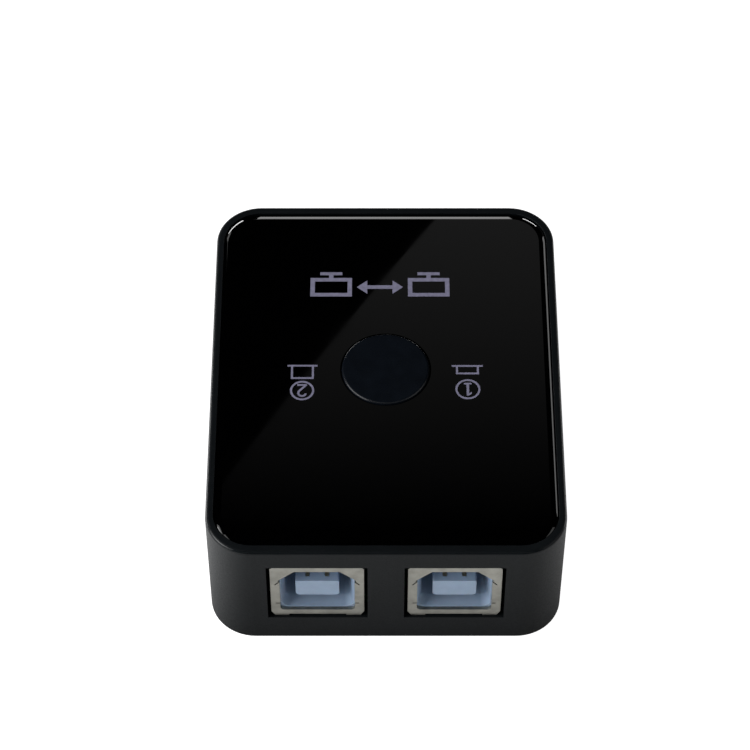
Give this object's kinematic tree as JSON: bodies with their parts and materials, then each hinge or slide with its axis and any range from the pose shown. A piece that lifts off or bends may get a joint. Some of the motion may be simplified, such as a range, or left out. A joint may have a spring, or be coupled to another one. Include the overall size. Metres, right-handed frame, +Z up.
{
  "type": "kvm switch",
  "caption": "Small black box that switches one USB device between two computers: square sockets in front, a flat socket behind, and a round push button in a glossy top panel.",
  "frame": {"origin": "centre of the footprint, on the surface under the feet", "axes": "+Z up out of the button, -Y out of the two square sockets, +Y out of the flat socket, +X to the right when the square sockets face the viewer"},
  "size_m": [0.046, 0.0576, 0.0202],
  "materials": {
    "matte_black_case": "fine matte texture",
    "gloss_black_panel": "mirror polished",
    "adhesive_tape": "matte foam",
    "matte_black_cover": "fine matte texture",
    "foot_rubber": "matte rubber",
    "screw_steel": "zinc plated",
    "board_laminate": "green solder mask",
    "satin_black_button": "fine satin",
    "switch_white_plastic": "moulded",
    "switch_black_plastic": "moulded",
    "switch_cream_plastic": "moulded",
    "contact_metal": "gold flashed",
    "spring_steel": "bright wire",
    "diode_epoxy": "moulded epoxy",
    "capacitor_ceramic": "fired ceramic",
    "socket_shell": "matte nickel plate",
    "blue_grey_insulator": "moulded",
    "white_insulator": "moulded",
    "legend_ink": "printed ink"
  },
  "bodies": {
    "case": {"housing": "matte_black_case", "top_panel": "gloss_black_panel", "panel_tape": "adhesive_tape", "bottom_cover": "matte_black_cover", "rubber_foot_front_left": "foot_rubber", "rubber_foot_front_right": "foot_rubber", "rubber_foot_rear_left": "foot_rubber", "rubber_foot_rear_right": "foot_rubber", "case_screws": "screw_steel", "circuit_board": "board_laminate", "board_screws": "screw_steel", "usb_b_shell_left": "socket_shell", "usb_b_insulator_left": "blue_grey_insulator", "usb_b_contacts_left": "contact_metal", "usb_b_shell_right": "socket_shell", "usb_b_insulator_right": "blue_grey_insulator", "usb_b_contacts_right": "contact_metal", "usb_a_shell": "socket_shell", "usb_a_insulator": "white_insulator", "usb_a_contacts": "contact_metal", "switch_spring": "spring_steel", "switch_case": "switch_black_plastic", "switch_base": "switch_cream_plastic", "switch_terminals": "contact_metal", "power_diodes": "diode_epoxy", "ceramic_capacitors": "capacitor_ceramic"},
    "button": {"button_cap": "satin_black_button", "switch_plunger": "switch_white_plastic", "switch_contact_clips": "contact_metal"},
    "latch_pin": {"switch_latch_pin": "spring_steel"}
  },
  "joints": [
    {"name": "button_press", "type": "slide", "parent": "case", "child": "button", "axis": [0, 0, 1], "range_m": [-0.0006, 0.0018], "stiffness_N_per_m": 600, "deforming": ["switch_spring"]},
    {"name": "latch_pin_swing", "type": "hinge", "parent": "case", "child": "latch_pin", "pos_m": [0, 0.0029, 0.00675], "axis": [0, 1, 0], "range_deg": [-5, 14.5]}
  ],
  "couplings": [
    {"joint": "latch_pin_swing", "follows": "button_press", "rad_per_m": 137}
  ]
}
